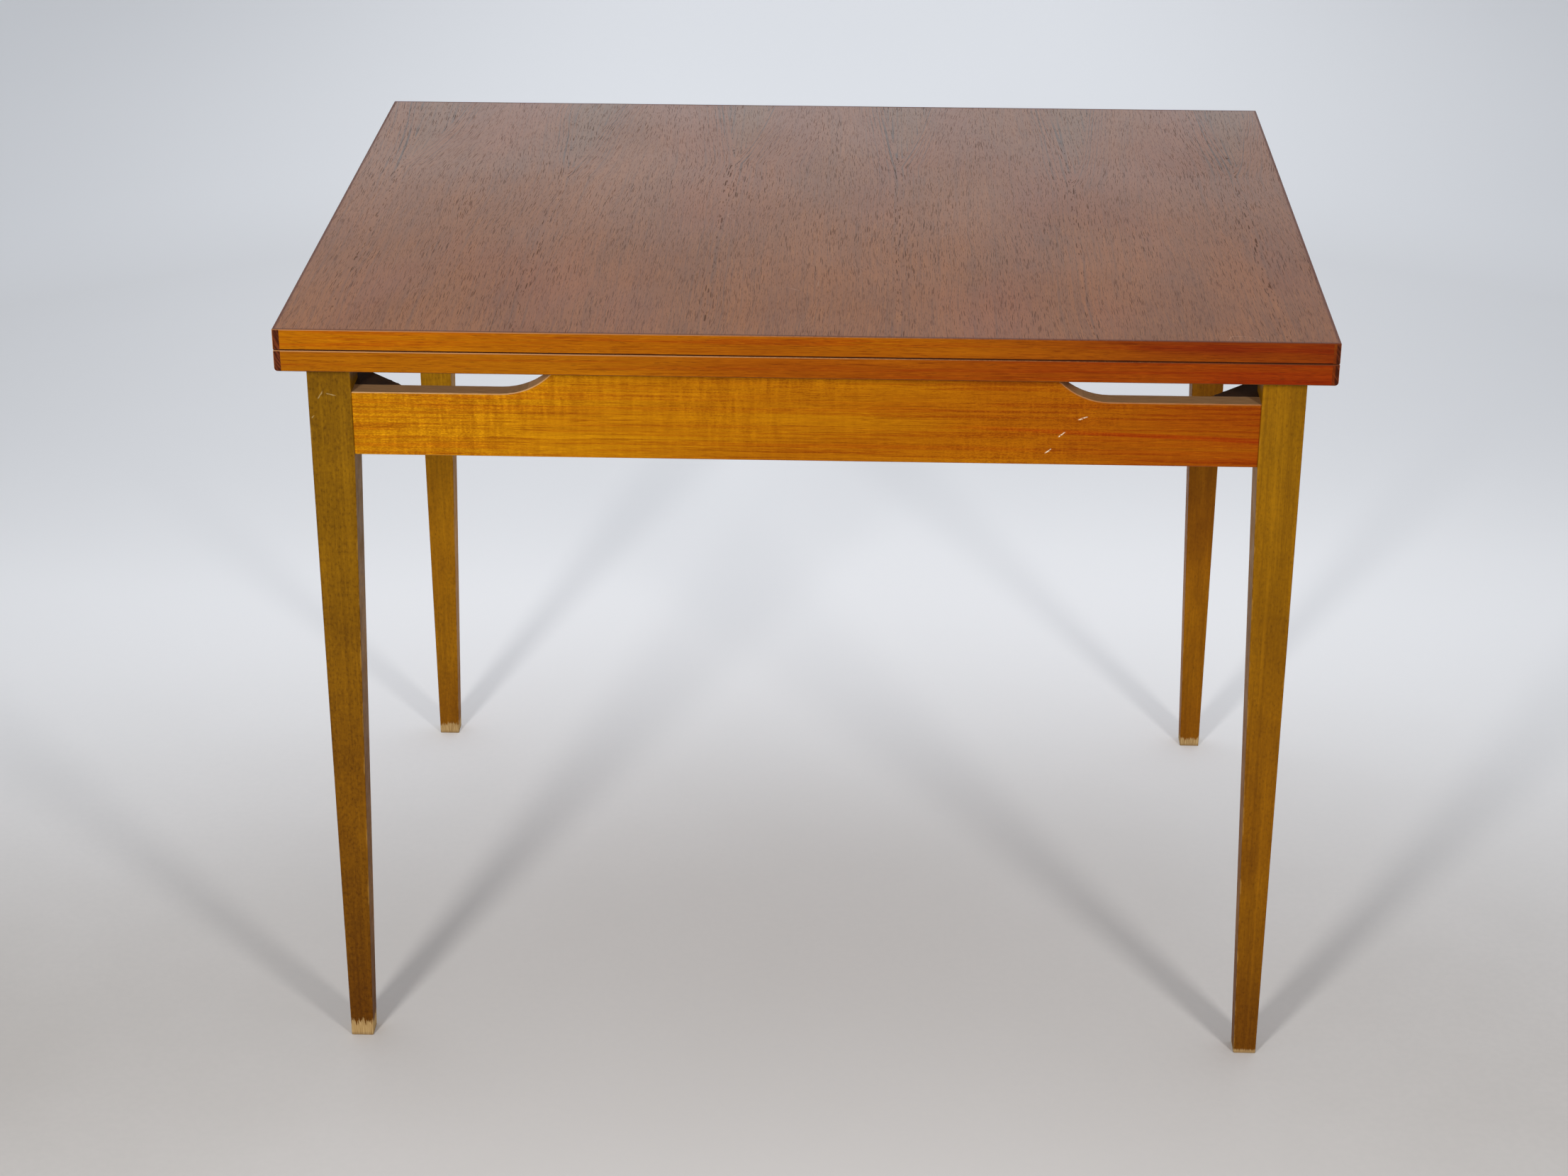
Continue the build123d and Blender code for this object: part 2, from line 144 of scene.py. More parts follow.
class Shader(Nodes):
    """One material with a Principled surface."""

    def __init__(self, name):
        self.material = bpy.data.materials.new(name)
        self.material.use_nodes = True
        super().__init__(self.material.node_tree)
        self.bsdf = self.node("ShaderNodeBsdfPrincipled")
        self.node("ShaderNodeOutputMaterial", {"Surface": self.bsdf.outputs[0]})

    def bump(self, height, distance, strength=1.0):
        made = self.node("ShaderNodeBump", {"Height": height, "Distance": distance, "Strength": strength})
        self.put(self.bsdf.inputs["Normal"], made.outputs[0])

    def surface(self, colour, roughness, specular=0.4, metallic=0.0):
        self.put(self.bsdf.inputs["Base Color"], colour)
        self.put(self.bsdf.inputs["Roughness"], roughness)
        self.put(self.bsdf.inputs["Specular IOR Level"], specular)
        self.put(self.bsdf.inputs["Metallic"], metallic)


# ---------------------------------------------------------------- wood

# For each grain direction, the order that puts the axis along the grain second.
GRAIN_ORDER = {"X": (1, 0, 2), "Y": (0, 1, 2), "Z": (0, 2, 1)}


def along_grain(s, place, grain, seed=0.0):
    """The place as (across, along, depth), moved by the seed so that pieces differ."""
    axes = s.split(place)
    across, along, depth = (axes[i] for i in GRAIN_ORDER[grain])
    return s.add(across, seed * 0.37), s.add(along, seed * 1.13), s.add(depth, seed * 0.71)


def stretched(s, fibre, width, length):
    """The fibre coordinates, so that one noise cell is a width across and a length along the grain."""
    across, along, depth = fibre
    return s.join(s.mul(across, 1 / width), s.mul(along, 1 / length), s.mul(depth, 1 / width))


def pores(s, fibre, width, length, share):
    """Short dark dashes along the grain, in a share of the cells. 1 inside a pore."""
    distance, chance = s.cells(stretched(s, fibre, width, length))
    size = s.step(chance, 1 - share, 1.0, 0.0, 0.42)
    return s.step(s.sub(size, distance), 0.0, 0.12)


def flat_pores(s, fibre, width, length, share):
    """The same for a sheet, where every pore lies in its face."""
    distance, chance = s.cells(stretched(s, fibre, width, length), "2D")
    size = s.step(chance, 1 - share, 1.0, 0.12, 0.34)
    return s.mul(s.step(s.sub(size, distance), 0.0, 0.10), s.step(chance, 1 - share, 1 - share + 0.02))


def fibres(s, fibre, width=0.0006, length=0.05, detail=2.0):
    """Fine lines along the grain, about 0.5."""
    return s.noise(stretched(s, fibre, width, length), detail=detail, roughness=0.6)


def end_grain_share(s, normal, grain):
    """1 on faces cut across the grain."""
    facing = s.math("ABSOLUTE", normal["XYZ".index(grain)])
    return s.step(facing, 0.75, 0.9)


def arris_share(s, normal):
    """1 on the eased edges, whose faces lie between two axes."""
    largest = s.math("MAXIMUM", s.math("ABSOLUTE", normal[0]), s.math("ABSOLUTE", normal[1]))
    largest = s.math("MAXIMUM", largest, s.math("ABSOLUTE", normal[2]))
    return s.step(largest, 0.96, 0.88)


# The veneer's leaves lie side by side: their width, the middle of the first, and where each one's V begins.
LEAF_PITCH = 0.1645
FIRST_LEAF = -0.413
V_START = 0.116

PALE = (0.55, 0.34, 0.17)
VENEER_DARK = (0.226, 0.075, 0.018)
VENEER_LIGHT = (0.302, 0.099, 0.018)
PORE_BROWN = (0.072, 0.025, 0.009)


def worn_and_highlit_rim(s, x, y):
    """The narrow pale line at the top of each leaf's edge, partly wear and partly a painted highlight where
    the edge catches the light, which fades to dark red at the right.
    """
    chips = s.noise(s.join(s.mul(x, 260.0), s.mul(y, 260.0), 0.0), detail=2.0, roughness=0.7)
    fade = s.step(s.add(x, s.mul(s.sub(chips, 0.5), 0.5)), -0.15, 0.35)
    return s.mix(fade, (0.40, 0.19, 0.075), (0.13, 0.030, 0.010))


def veneer_leaf(s, x, y, seed):
    """The leaf's number, a random number for it, and the place across it, bent a little."""
    count = s.mul(s.sub(x, FIRST_LEAF - LEAF_PITCH / 2), 1 / LEAF_PITCH)
    leaf = s.math("FLOOR", count)
    across = s.mul(s.sub(s.math("FRACT", count), 0.5), LEAF_PITCH)
    chance = s.node("ShaderNodeTexWhiteNoise", {"W": s.add(leaf, seed)}, noise_dimensions="1D").outputs[0]
    drift = s.noise(s.join(s.mul(x, 7.0), s.mul(y, 2.5), s.add(leaf, seed)), detail=2.0)
    return leaf, chance, s.add(across, s.mul(s.sub(drift, 0.5), 0.028))


def veneer_flow(s, y, bent, chance):
    """How the grain flows: straight at the front, parted by a V that opens towards the back edge.

    Gives the place across the grain, and how far a point is outside the V's arms.
    """
    side = s.math("SIGN", bent)
    opened = s.math("MAXIMUM", s.sub(y, s.add(V_START, s.mul(s.sub(chance, 0.5), 0.07))), 0.0)
    slope = s.add(0.13, s.add(s.mul(side, 0.07), s.mul(s.sub(chance, 0.5), 0.06)))
    eased = s.math("SQRT", s.add(s.mul(bent, bent), 0.000009))
    parting = s.mul(s.mul(opened, slope), s.step(eased, 0.095, 0.0, 0.25, 1.0))
    outside = s.sub(eased, parting)
    within = s.step(outside, 0.001, -0.001)
    followed = s.add(s.mul(within, s.mul(bent, 0.9)), s.mul(s.sub(1.0, within), s.mul(outside, side)))
    return followed, outside


def veneer_ground(s, x, y, bands, fine, seed):
    """A red-brown ground with broad patches, long bands, fine fibres and rosy places."""
    broad = s.noise(s.join(s.mul(x, 11.0), s.mul(y, 3.2), seed), detail=3.0, roughness=0.55)
    rosy = s.noise(s.join(s.mul(x, 9.0), s.mul(y, 3.0), 11.3 + seed), detail=2.0)
    ground = s.mix(s.step(broad, 0.3, 0.7), VENEER_DARK, VENEER_LIGHT)
    ground = s.mix(s.step(bands, 0.42, 0.70, 0.0, 0.45), ground, (0.175, 0.060, 0.018))
    ground = s.mix(s.step(fine, 0.48, 0.75, 0.0, 0.50), ground, (0.42, 0.160, 0.036))
    ground = s.mix(s.step(fine, 0.50, 0.22, 0.0, 0.55), ground, (0.125, 0.044, 0.014))
    return s.mix(s.step(rosy, 0.45, 0.70, 0.0, 0.30), ground, (0.285, 0.080, 0.038))


def veneer_figure(s, ground, y, fibre, flow, bands, grey_back):
    """Greenish grey inside each V, and dark growth lines that are strongest along its arms."""
    followed, outside = flow
    line = s.noise(stretched(s, fibre, 0.0017, 0.20), detail=2.0, roughness=0.6)
    grey = s.mul(s.step(outside, 0.014, -0.012), s.step(y, 0.08, 0.24, 0.0, 0.34))
    ground = s.mix(s.mul(grey, grey_back), ground, (0.190, 0.118, 0.060))
    ground = s.mix(s.step(line, 0.54, 0.64, 0.0, 0.20), ground, (0.085, 0.040, 0.024))
    ring = s.math("FRACT", s.add(s.mul(followed, 210.0), s.mul(line, 1.2)))
    ring = s.step(s.math("ABSOLUTE", s.sub(ring, 0.5)), 0.16, 0.05)
    near = s.mul(s.step(outside, 0.040, 0.002), s.step(outside, -0.012, 0.0, 0.35, 1.0))
    strength = s.add(0.14, s.mul(near, s.step(y, 0.04, 0.18, 0.10, 0.82)))
    strength = s.mul(s.mul(ring, s.step(bands, 0.35, 0.55, 0.4, 1.0)), strength)
    return s.mix(strength, ground, (0.080, 0.038, 0.022))


def veneer_pores(s, x, y, fibre, seed):
    """Long dark dashes, fainter where the finish is fuller, and finer ones between them. 1 inside a pore."""
    worn = s.step(s.noise(s.join(s.mul(x, 14.0), s.mul(y, 6.0), seed), detail=3.0), 0.32, 0.62, 0.40, 1.0)
    long_pore = flat_pores(s, fibre, 0.00095, 0.030, 0.45)
    short_pore = flat_pores(s, fibre, 0.00065, 0.013, 0.55)
    return s.math("MAXIMUM", s.mul(long_pore, worn), s.mul(short_pore, 0.65))


def fine_scratches(s, place, x, y, seed):
    """A few hair lines across the polish. 1 inside a scratch."""
    mark = s.noise(s.join(s.mul(x, 3.1), s.mul(y, 4.3), 5.0 + seed), detail=1.0, distortion=1.6)
    scratch = s.step(s.math("ABSOLUTE", s.sub(mark, 0.5)), 0.0011, 0.0002)
    return s.mul(scratch, s.step(s.noise(place, scale=16.0, detail=2.0), 0.60, 0.68))


def varnish_coat(s, x, y):
    """The varnish is thickest at the back, and a little thinner at the right."""
    coat = s.step(y, -HALF_DEPTH, HALF_DEPTH, 0.23, 0.72)
    coat = s.add(coat, s.step(y, 0.22, HALF_DEPTH, 0.0, 0.08))
    return s.mul(coat, s.step(x, 0.0, HALF_WIDTH, 1.0, 0.80))


def veneer(name, seed, tone=(1.0, 1.0, 1.0), grey_back=1.0, rim=None, outline=0.0, varnish=1.0):
    """Slip-matched teak veneer, grain along Y, with a V in each leaf that points to the front.

    The rim is the colour of the sheet's narrow edge, pale at the left if none is given. The outline is how
    strongly the face darkens along its border, and varnish the share of the full coat.
    """
    s = Shader(name)
    place = s.place()
    x, y, _ = s.split(place)

    leaf, chance, bent = veneer_leaf(s, x, y, seed)
    flow = veneer_flow(s, y, bent, chance)
    fibre = (s.add(flow[0], s.mul(leaf, 0.31 + seed)), y, 0.0)
    bands = s.noise(stretched(s, fibre, 0.007, 0.42), detail=3.0, roughness=0.6)
    fine = fibres(s, fibre, 0.0008, 0.035)
    colour = veneer_ground(s, x, y, bands, fine, seed)
    colour = veneer_figure(s, colour, y, fibre, flow, bands, grey_back)

    pore = veneer_pores(s, x, y, fibre, seed)
    colour = s.mix(s.mul(pore, 0.88), colour, PORE_BROWN)
    colour = s.tinted(colour, tone)
    colour = s.mix(s.step(x, -0.1, HALF_WIDTH), colour, s.tinted(colour, (0.92, 0.88, 0.85)))
    scratch = fine_scratches(s, place, x, y, seed)
    colour = s.mix(s.mul(scratch, 0.30), colour, (0.50, 0.30, 0.20))

    # The face darkens along its border, and the sheet's narrow edge is pale at the left: partly wear, partly
    # a painted highlight.
    from_side = s.sub(HALF_WIDTH, s.math("ABSOLUTE", x))
    from_end = s.sub(HALF_DEPTH, s.math("ABSOLUTE", y))
    border = s.mul(s.step(s.math("MINIMUM", from_side, from_end), 0.0032, 0.0016), outline)
    colour = s.mix(border, colour, (0.110, 0.026, 0.010))
    facing = s.math("ABSOLUTE", s.normal()[2])
    edge = s.step(facing, 0.80 if outline else 0.97, 0.62 if outline else 0.88)
    colour = s.mix(edge, colour, rim or worn_and_highlit_rim(s, x, y))

    # The varnish doesn't fill the pores, and it is worn off the border and the edge.
    coat = s.mul(varnish_coat(s, x, y), varnish)
    coat = s.mul(s.mul(coat, s.sub(1.0, border)), s.sub(1.0, s.mul(edge, 0.95)))
    coat = s.mul(coat, s.sub(1.0, pore))
    rubbed = s.noise(place, scale=5.0, detail=4.0, roughness=0.6)
    roughness = s.add(s.step(rubbed, 0.3, 0.7, 0.30, 0.40), s.mul(pore, 0.2))
    s.surface(colour, roughness, specular=0.10)
    s.put(s.bsdf.inputs["Coat Weight"], coat)
    s.put(s.bsdf.inputs["Coat Roughness"], 0.34)
    s.bump(s.sub(s.mul(fine, 0.25), s.add(s.mul(pore, 0.8), s.mul(scratch, 0.5))), 0.00012, 0.6)
    return s.material


# The red line in the front apron: its height at the middle, its slope, and where it begins and is full.
APRON_STREAK = (0.642, -0.037, 0.10, 0.22)

# Short knocks and scratches: middle x and z, length, slope.
APRON_MARKS = ((0.2418, 0.6473, 0.010, 0.35), (0.2239, 0.6318, 0.009, 0.85), (0.2126, 0.6162, 0.008, 0.80))
LEG_MARKS = ((-0.4221, 0.6598, 0.010, 1.6), (-0.4126, 0.6604, 0.011, -0.25), (-0.4297, 0.6393, 0.004, 1.0))


def dents(s, x, z, marks):
    """Short pale marks on a front face. 1 inside a mark."""
    if not marks:
        return 0.0
    ragged = s.noise(s.join(s.mul(x, 600.0), s.mul(z, 600.0), 0.0), detail=2.0, roughness=0.7)
    total = 0.0
    for middle_x, middle_z, length, slope in marks:
        size = (1 + slope * slope) ** 0.5
        along_x, along_z = 1 / size, slope / size
        off_x, off_z = s.sub(x, middle_x), s.sub(z, middle_z)
        run = s.add(s.mul(off_x, along_x), s.mul(off_z, along_z))
        off = s.sub(s.mul(off_z, along_x), s.mul(off_x, along_z))
        off = s.math("ABSOLUTE", s.add(off, s.mul(s.sub(ragged, 0.5), 0.0026)))
        inside = s.step(s.math("ABSOLUTE", run), length / 2, length / 4)
        total = s.math("MAXIMUM", total, s.mul(inside, s.step(off, 0.0007, 0.0002)))
    return s.mul(total, s.step(ragged, 0.36, 0.50, 0.0, 0.85))


def figure_places(s, x, z, seed):
    """Where the cross figure shows."""
    patch = s.noise(s.join(s.mul(x, 5.0), s.mul(z, 9.0), seed), detail=1.0)
    return s.step(patch, 0.36, 0.60, 0.25, 1.0)


def teak_lines(s, ground, x, bent, line, fine, ripple):
    """Red and dark growth lines, thin dark lines and fine fibres over the ground."""
    dark = s.tinted(ground, (0.55, 0.36, 0.60))
    red = s.tinted(ground, (0.92, 0.50, 0.70))
    light = s.tinted(ground, (1.35, 1.45, 1.6))
    ground = s.mix(s.step(line, 0.50, 0.64, 0.0, 0.45 if ripple else 0.60), ground, red)
    ground = s.mix(s.step(line, 0.46, 0.32, 0.0, 0.45), ground, light)
    thin_size = (0.0012, 0.40) if ripple else (0.0009, 0.06)
    thin = s.noise(stretched(s, bent, *thin_size), detail=2.0, roughness=0.55)
    if ripple:
        row = s.noise(stretched(s, bent, 0.0030, 0.45), detail=2.0)
        shown = s.mul(s.step(row, 0.54, 0.61), s.step(x, -0.1, 0.25, 0.50, 0.75))
        ground = s.mix(shown, ground, s.mix(0.5, dark, red))
    calm = s.step(x, 0.0, 0.35, 1.0, 0.5) if ripple else 0.8
    ground = s.mix(s.mul(s.step(thin, 0.57, 0.64, 0.0, 0.65), calm), ground, dark)
    ground = s.mix(s.step(thin, 0.42, 0.30, 0.0, 0.45), ground, light)
    ground = s.mix(s.step(fine, 0.52, 0.72, 0.0, 0.75), ground, light)
    ground = s.mix(s.step(fine, 0.47, 0.26, 0.0, 0.60), ground, dark)
    return ground, thin, dark, light


def red_streak(s, ground, x, z, wave, thin, streak):
    """One long red line that wanders with the grain."""
    height, slope, begins, full = streak
    off = s.sub(s.sub(z, s.mul(x, slope)), height)
    off = s.math("ABSOLUTE", s.add(off, s.mul(s.sub(wave, 0.5), 0.008)))
    shown = s.mul(s.step(off, 0.0032, 0.0010), s.step(x, begins, full, 0.0, 0.85))
    shown = s.mul(shown, s.step(thin, 0.36, 0.52, 0.35, 1.0))
    return s.mix(shown, ground, s.tinted(ground, (0.92, 0.36, 0.8)))


def cross_figure(s, ground, x, fibre, band, where, dark, light, ripple):
    """Narrow and wide bands across the grain, and small slanting flakes, painted as highlight and shade:
    painted highlights where they catch the light, brightest at the left, and painted shade between.
    """
    across, along, depth = fibre
    wide = s.noise(s.join(s.mul(along, 190.0), s.mul(across, 28.0), s.mul(depth, 28.0)), detail=1.0)
    slanted = s.sub(along, s.mul(across, 1.1))
    flake = s.noise(s.join(s.mul(slanted, 560.0), s.mul(across, 1400.0), s.mul(depth, 1400.0)), detail=2.0)
    middle = s.mul(s.step(x, -0.36, -0.24, 0.35, 1.0), s.step(x, 0.10, -0.02, 0.20, 1.0))
    # Painted highlight: the glints are lighter copies of the ground, strongest at the left.
    painted_glint = s.mix(s.step(x, -0.36, -0.10), s.tinted(ground, (1.55, 1.75, 2.2)), light)
    painted_highlight_share = s.add(s.mul(s.step(band, 0.48, 0.66), 0.35), s.mul(s.step(flake, 0.49, 0.62), 0.75))
    painted_highlight_share = s.add(painted_highlight_share, s.mul(s.step(wide, 0.50, 0.62), s.mul(middle, 0.45)))
    ground = s.mix(s.mul(s.mul(painted_highlight_share, where), ripple), ground, painted_glint)
    painted_shade_share = s.add(s.mul(s.step(band, 0.46, 0.32), 0.25), s.mul(s.step(flake, 0.47, 0.33), 0.75))
    painted_shade_share = s.add(painted_shade_share, s.mul(s.step(wide, 0.50, 0.38), s.mul(middle, 0.50)))
    return s.mix(s.mul(s.mul(painted_shade_share, where), ripple * 0.85), ground, dark)


def teak_end_grain(s, x, y, z, ground):
    """Dark end grain with slanting rings, paler at the left, and thin against the right edge."""
    slant = s.noise(s.join(s.mul(s.add(x, s.mul(z, 0.6)), 700.0), s.mul(z, 90.0), s.mul(y, 90.0)), detail=2.0)
    rings = s.step(slant, 0.40, 0.64)
    cut = s.mix(rings, (0.040, 0.008, 0.003), (0.115, 0.026, 0.008))
    cut = s.mix(s.step(x, HALF_WIDTH - 0.0030, HALF_WIDTH - 0.0042, 0.0, 0.65), cut, ground)
    return s.mix(s.step(x, 0.0, -0.1), cut, s.mix(rings, (0.045, 0.010, 0.004), (0.13, 0.03, 0.01)))


def teak_wear_and_painted_light(s, colour, x, y, z, normal, sawn, rim):
    """Paler arrises, partly wear and partly a painted highlight where they face up, strongest at the left; a
    front pale above the rim's first height, partly wear and partly a painted highlight; and painted shade
    below its second, for the gap between the leaves.
    """
    rubbed = s.noise(s.join(s.mul(x, 60.0), s.mul(y, 60.0), s.mul(z, 60.0)), detail=3.0)
    # Painted highlight, partly wear: arrises that face up are painted paler, more at the left.
    upward = s.step(normal[2], 0.1, 0.4, 0.20, 0.85 if sawn else 0.35)
    worn = s.mul(upward, s.add(0.7, s.mul(s.step(rubbed, 0.35, 0.62), 0.3)))
    worn = s.mul(worn, s.step(x, -0.2, 0.35, 1.0, 0.45))
    colour = s.mix(s.mul(arris_share(s, normal), worn), colour, PALE)
    if rim:
        above = s.step(z, rim[0] - 0.0004, rim[0] - 0.0002)
        colour = s.mix(s.mul(above, s.step(x, 0.2, -0.3)), colour, worn_and_highlit_rim(s, x, y))
        # Painted shade: almost black below the rim's second height, for the gap between the leaves.
        colour = s.mix(s.step(z, rim[1] + 0.0007, rim[1] + 0.0003), colour, (0.030, 0.006, 0.002))
    return colour


def solid_teak(
    name, grain, seed, left, right, ripple=0.0, flecks=0.4, sawn=None, rim=None, marks=(), streak=None
):
    """Oiled, tinted wood: fine dark lines along the grain, from one tone at the left to another at the right.

    Ripple is the strength of the cross figure, flecks that of the pores, and sawn the colour of faces that
    point up. The rim is the pair of heights between which the front has its own colour.
    """
    s = Shader(name)
    place = s.place()
    x, y, z = s.split(place)
    normal = s.normal()
    fibre = along_grain(s, place, grain, seed)
    across, along, depth = fibre

    # The grain wanders slowly, and jogs where the cross figure crosses it.
    where = figure_places(s, x, z, seed)
    band = s.noise(s.join(s.mul(along, 420.0), s.mul(across, 70.0), s.mul(depth, 70.0)), detail=1.0)
    wave = s.noise(stretched(s, fibre, 0.04, 0.35), detail=2.0)
    jog = s.mul(s.mul(s.sub(band, 0.5), where), 0.0006 * ripple)
    bent = (s.add(across, s.add(s.mul(wave, 0.016), jog)), along, depth)
    line = s.noise(stretched(s, bent, 0.0050, 0.60), detail=3.0, roughness=0.55)
    fine = fibres(s, bent, 0.00055, 0.014)
    fleck = s.mul(pores(s, bent, 0.0007, 0.009, 0.35), flecks)
    broad = s.noise(stretched(s, bent, 0.030, 0.25), detail=2.0)

    reach = s.add(s.step(x, -0.38, 0.56), s.step(broad, 0.25, 0.75, -0.20, 0.20))
    ground = s.mix(reach, left, right)
    ground, thin, dark, light = teak_lines(s, ground, x, bent, line, fine, ripple)
    if streak:
        ground = red_streak(s, ground, x, z, wave, thin, streak)
    if ripple:
        ground = cross_figure(s, ground, x, fibre, band, where, dark, light, ripple)
    colour = s.mix(fleck, ground, (0.060, 0.014, 0.002))

    # The cut-out's top is left duller.
    if sawn:
        shade = s.mix(s.step(fine, 0.3, 0.7), tuple(0.8 * v for v in sawn), tuple(1.2 * v for v in sawn))
        colour = s.mix(s.step(normal[2], 0.75, 0.95), colour, shade)
    colour = s.mix(end_grain_share(s, normal, grain), colour, teak_end_grain(s, x, y, z, ground))
    colour = teak_wear_and_painted_light(s, colour, x, y, z, normal, sawn, rim)
    dent = dents(s, x, z, marks)
    colour = s.mix(dent, colour, (0.80, 0.70, 0.50))
    s.surface(colour, s.step(line, 0.3, 0.7, 0.42, 0.52), specular=0.035)
    s.bump(s.sub(s.mul(fine, 0.4), s.add(fleck, dent)), 0.0001, 0.5)
    return s.material


def leg_distances(s, x, y, z):
    """How far a point on a leg is from its nearest edge, along the face that it lies on."""
    taper = s.math("MINIMUM", s.mul(z, 1 / APRON_BOTTOM), 1.0)
    width = s.add(LEG_FOOT, s.mul(taper, LEG_SIZE - LEG_FOOT))
    from_out_x = s.sub(LEG_OUT_X, s.math("ABSOLUTE", x))
    from_out_y = s.sub(LEG_OUT_Y, s.math("ABSOLUTE", y))
    near_x = s.math("MINIMUM", from_out_x, s.sub(width, from_out_x))
    near_y = s.math("MINIMUM", from_out_y, s.sub(width, from_out_y))
    return s.math("MAXIMUM", near_x, near_y)


def leg_ground(s, z, fibre, fine, cloud, fleck, mottled):
    """Stained beech: greener at the top, browner at the foot, clouded, mottled and flecked."""
    broad = s.noise(stretched(s, fibre, 0.03, 0.12), detail=3.0, roughness=0.5)
    mottle = s.noise(stretched(s, fibre, 0.0026, 0.0042), detail=3.0, roughness=0.6)
    line = s.noise(stretched(s, fibre, 0.003, 0.35), detail=3.0)
    patches = s.step(broad, 0.3, 0.7)
    upper = s.mix(patches, (0.165, 0.074, 0.0024), (0.225, 0.102, 0.0030))
    lower = s.mix(patches, (0.156, 0.057, 0.0028), (0.210, 0.082, 0.0034))
    ground = s.mix(s.step(z, 0.20, 0.62), lower, upper)
    ground = s.mix(s.step(z, 0.17, 0.02, 0.0, 0.9), ground, (0.115, 0.037, 0.0026))
    shade = s.tinted(ground, (0.55, 0.50, 0.90))
    light = s.tinted(ground, (1.45, 1.50, 1.4))
    ground = s.mix(s.step(cloud, 0.42, 0.66, 0.0, 0.30 * mottled), ground, shade)
    ground = s.mix(s.step(mottle, 0.50, 0.66, 0.0, 0.65 * mottled), ground, shade)
    ground = s.mix(s.step(mottle, 0.46, 0.34, 0.0, 0.40 * mottled), ground, light)
    ground = s.mix(s.step(line, 0.50, 0.70, 0.0, 0.35), ground, shade)
    ground = s.mix(s.step(line, 0.46, 0.30, 0.0, 0.35), ground, light)
    ground = s.mix(s.step(fine, 0.52, 0.75, 0.0, 0.45), ground, light)
    ground = s.mix(s.step(fine, 0.46, 0.25, 0.0, 0.45), ground, shade)
    return s.mix(s.mul(fleck, 0.30), ground, (0.055, 0.019, 0.002))


def rubbed_edges(s, x, y, z):
    """Pale worn edges, with breaks. 1 on a worn place."""
    edge = leg_distances(s, x, y, z)
    breaks = s.noise(s.join(s.mul(x, 110.0), s.mul(y, 110.0), s.mul(z, 45.0)), detail=3.0, roughness=0.65)
    width = s.step(breaks, 0.4, 0.75, 0.0004, 0.0020)
    return s.mul(s.step(edge, width, 0.0002), s.step(breaks, 0.42, 0.62))


def leg_wood(name, seed, bare_foot, mottled, low_tone_and_light, high_tone_and_light, marks=()):
    """Stained beech, grain along Z: flecked, mottled, worn along the edges and bare at the foot."""
    s = Shader(name)
    place = s.place()
    x, y, z = s.split(place)
    fibre = along_grain(s, place, "Z", seed)
    cloud = s.noise(place, scale=42.0, detail=4.0, roughness=0.6)
    fine = fibres(s, fibre, 0.0005, 0.020)
    fleck = pores(s, fibre, 0.0016, 0.0042, 0.25)
    dent = dents(s, x, z, marks)

    # The tints are partly the leg's own tone, partly painted light and painted shade.
    tint = s.mix(s.step(z, 0.04, 0.34), low_tone_and_light, high_tone_and_light)
    colour = s.tinted(leg_ground(s, z, fibre, fine, cloud, fleck, mottled), tint)
    colour = s.mix(s.mul(dent, 0.7), colour, (0.42, 0.30, 0.13))
    colour = s.mix(s.mul(rubbed_edges(s, x, y, z), 0.5), colour, (0.40, 0.22, 0.05))

    # The foot has lost its finish: ragged, pale, a little dirty at the floor.
    ragged = s.noise(s.join(s.mul(x, 330.0), s.mul(y, 330.0), s.mul(z, 30.0)), detail=4.0, roughness=0.85)
    bare_height = s.mul(s.sub(ragged, 0.08), 0.034 * bare_foot)
    bare = s.step(s.sub(z, bare_height), 0.0018, -0.0012)
    raw = s.mix(s.step(fine, 0.35, 0.7), (0.30, 0.18, 0.065), (0.50, 0.34, 0.15))
    raw = s.mix(s.step(z, 0.004, 0.0, 0.0, 0.5), raw, (0.14, 0.085, 0.045))
    colour = s.mix(bare, colour, raw)

    ends = end_grain_share(s, s.normal(), "Z")
    colour = s.mix(s.mul(ends, 0.8), colour, (0.17, 0.10, 0.04))
    roughness = s.add(s.step(cloud, 0.3, 0.7, 0.42, 0.54), s.mul(bare, 0.3))
    s.surface(colour, roughness, specular=0.045)
    relief = s.sub(s.mul(fine, 0.5), s.add(s.mul(fleck, 0.6), s.add(dent, s.mul(bare, 1.5))))
    s.bump(relief, 0.00012, 0.5)
    return s.material


def plain_wood(name, grain, seed, light, dark, roughness=0.62):
    """Unpolished wood for what is out of sight: planed beech, softwood or board."""
    s = Shader(name)
    place = s.place()
    normal = s.normal()
    fibre = along_grain(s, place, grain, seed)
    broad = s.noise(stretched(s, fibre, 0.03, 0.25), detail=3.0)
    line = s.noise(stretched(s, fibre, 0.0045, 0.5), detail=3.0)
    fine = fibres(s, fibre, 0.0008, 0.03)
    fleck = pores(s, fibre, 0.0018, 0.005, 0.4)
    colour = s.mix(s.step(broad, 0.3, 0.7), dark, light)
    colour = s.mix(s.step(line, 0.5, 0.75, 0.0, 0.5), colour, dark)
    colour = s.mix(s.step(fine, 0.5, 0.25, 0.0, 0.4), colour, dark)
    colour = s.mix(s.mul(fleck, 0.4), colour, dark)
    shade = s.tinted(colour, (0.55, 0.5, 0.45))
    colour = s.mix(end_grain_share(s, normal, grain), colour, shade)
    s.surface(colour, roughness, specular=0.25)
    s.bump(s.sub(fine, fleck), 0.00012, 0.5)
    return s.material


# ---------------------------------------------------------------- metal, felt and fibre


